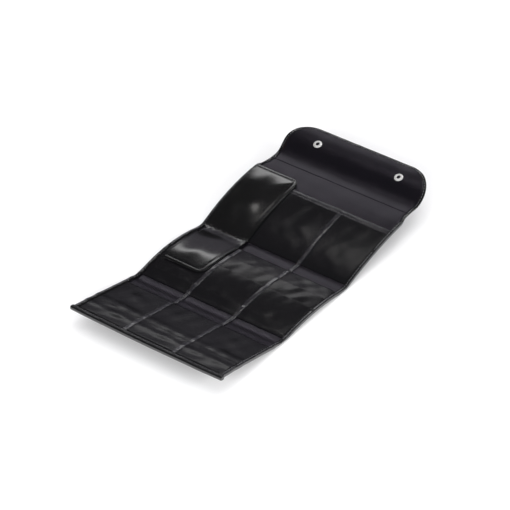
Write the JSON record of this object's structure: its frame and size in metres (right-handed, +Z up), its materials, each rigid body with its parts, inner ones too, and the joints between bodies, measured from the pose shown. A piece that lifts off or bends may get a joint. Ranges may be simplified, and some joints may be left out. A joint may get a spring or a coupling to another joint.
{
  "type": "jewelry wallet",
  "caption": "Soft tri-fold jewelry wallet lying open: glossy black panels with slot pockets, cushioned leaf over one column, snap flap on a soft spine; folds shut and snaps.",
  "frame": {"origin": "under the middle of the open wallet, on the surface it lies on", "axes": "+X across the width, +Y from the front edge to the closing flap, +Z up"},
  "size_m": [0.193, 0.396, 0.0445],
  "materials": {
    "patent_vinyl": "glossy patent",
    "cushion_vinyl": "glossy patent, soft",
    "binding_vinyl": "satin patent with stitching",
    "lining": "satin weave",
    "fold_cloth": "satin weave",
    "foam": "matte",
    "snap_metal": "polished nickel"
  },
  "bodies": {
    "middle_panel": {"middle_shell": "patent_vinyl", "middle_core": "foam", "middle_lining": "lining", "middle_binding_left": "binding_vinyl", "middle_binding_right": "binding_vinyl", "slot_1": "patent_vinyl", "slot_2": "patent_vinyl", "slot_3": "patent_vinyl", "slot_4": "patent_vinyl", "middle_tape_left": "binding_vinyl", "middle_tape_right": "binding_vinyl", "stud_left": "snap_metal", "stud_right": "snap_metal", "front_fold_strip": "fold_cloth", "back_fold_strip": "fold_cloth"},
    "front_panel": {"front_shell": "patent_vinyl", "front_core": "foam", "front_lining": "lining", "front_binding_left": "binding_vinyl", "front_binding_right": "binding_vinyl", "front_roll": "binding_vinyl", "front_slot_1": "patent_vinyl", "front_slot_2": "patent_vinyl", "front_tape_left": "binding_vinyl", "front_tape_right": "binding_vinyl"},
    "back_panel": {"back_shell": "patent_vinyl", "back_core": "foam", "back_lining": "lining", "back_binding_left": "binding_vinyl", "back_binding_right": "binding_vinyl", "long_pocket": "patent_vinyl", "pocket_hem": "binding_vinyl", "back_tape": "binding_vinyl", "spine_fold_strip": "fold_cloth"},
    "spine": {"spine_shell": "patent_vinyl", "spine_lining": "lining", "spine_binding_left": "binding_vinyl", "spine_binding_right": "binding_vinyl", "flap_fold_strip": "fold_cloth"},
    "flap": {"flap_shell": "patent_vinyl", "flap_core": "foam", "flap_lining": "lining", "flap_binding": "binding_vinyl", "socket_left": "snap_metal", "socket_right": "snap_metal", "cap_left": "snap_metal", "cap_right": "snap_metal"},
    "leaf": {"leaf_pad": "cushion_vinyl", "leaf_edging": "binding_vinyl"},
    "leaf_tail": {"leaf_tail_pad": "cushion_vinyl", "leaf_tail_edging": "binding_vinyl"}
  },
  "joints": [
    {"name": "front_fold", "type": "hinge", "parent": "middle_panel", "child": "front_panel", "pos_m": [0, -0.09456, 0.007], "axis": [-1, 0, 0], "range_deg": [0, 165], "deforming": ["front_fold_strip"]},
    {"name": "back_fold", "type": "hinge", "parent": "middle_panel", "child": "back_panel", "pos_m": [0, 0.01744, 0.015], "axis": [1, 0, 0], "range_deg": [0, 167], "deforming": ["back_fold_strip"]},
    {"name": "spine_fold", "type": "hinge", "parent": "back_panel", "child": "spine", "pos_m": [0, 0.12377, 0.02769], "axis": [1, 0, 0], "range_deg": [0, 74], "deforming": ["spine_fold_strip"]},
    {"name": "flap_fold", "type": "hinge", "parent": "spine", "child": "flap", "pos_m": [0, 0.15527, 0.02969], "axis": [1, 0, 0], "range_deg": [0, 94], "deforming": ["flap_fold_strip"]},
    {"name": "leaf_turn", "type": "hinge", "parent": "back_panel", "child": "leaf", "pos_m": [-0.0906, 0.06955, 0.02072], "axis": [0, 0.9744, 0.225], "range_deg": [-60, 0]},
    {"name": "leaf_crease", "type": "hinge", "parent": "leaf", "child": "leaf_tail", "pos_m": [0, 0.01744, 0.015], "axis": [1, 0, 0], "range_deg": [-167, 0]}
  ],
  "couplings": [
    {"joint": "leaf_crease", "follows": "back_fold", "ratio": -1}
  ]
}
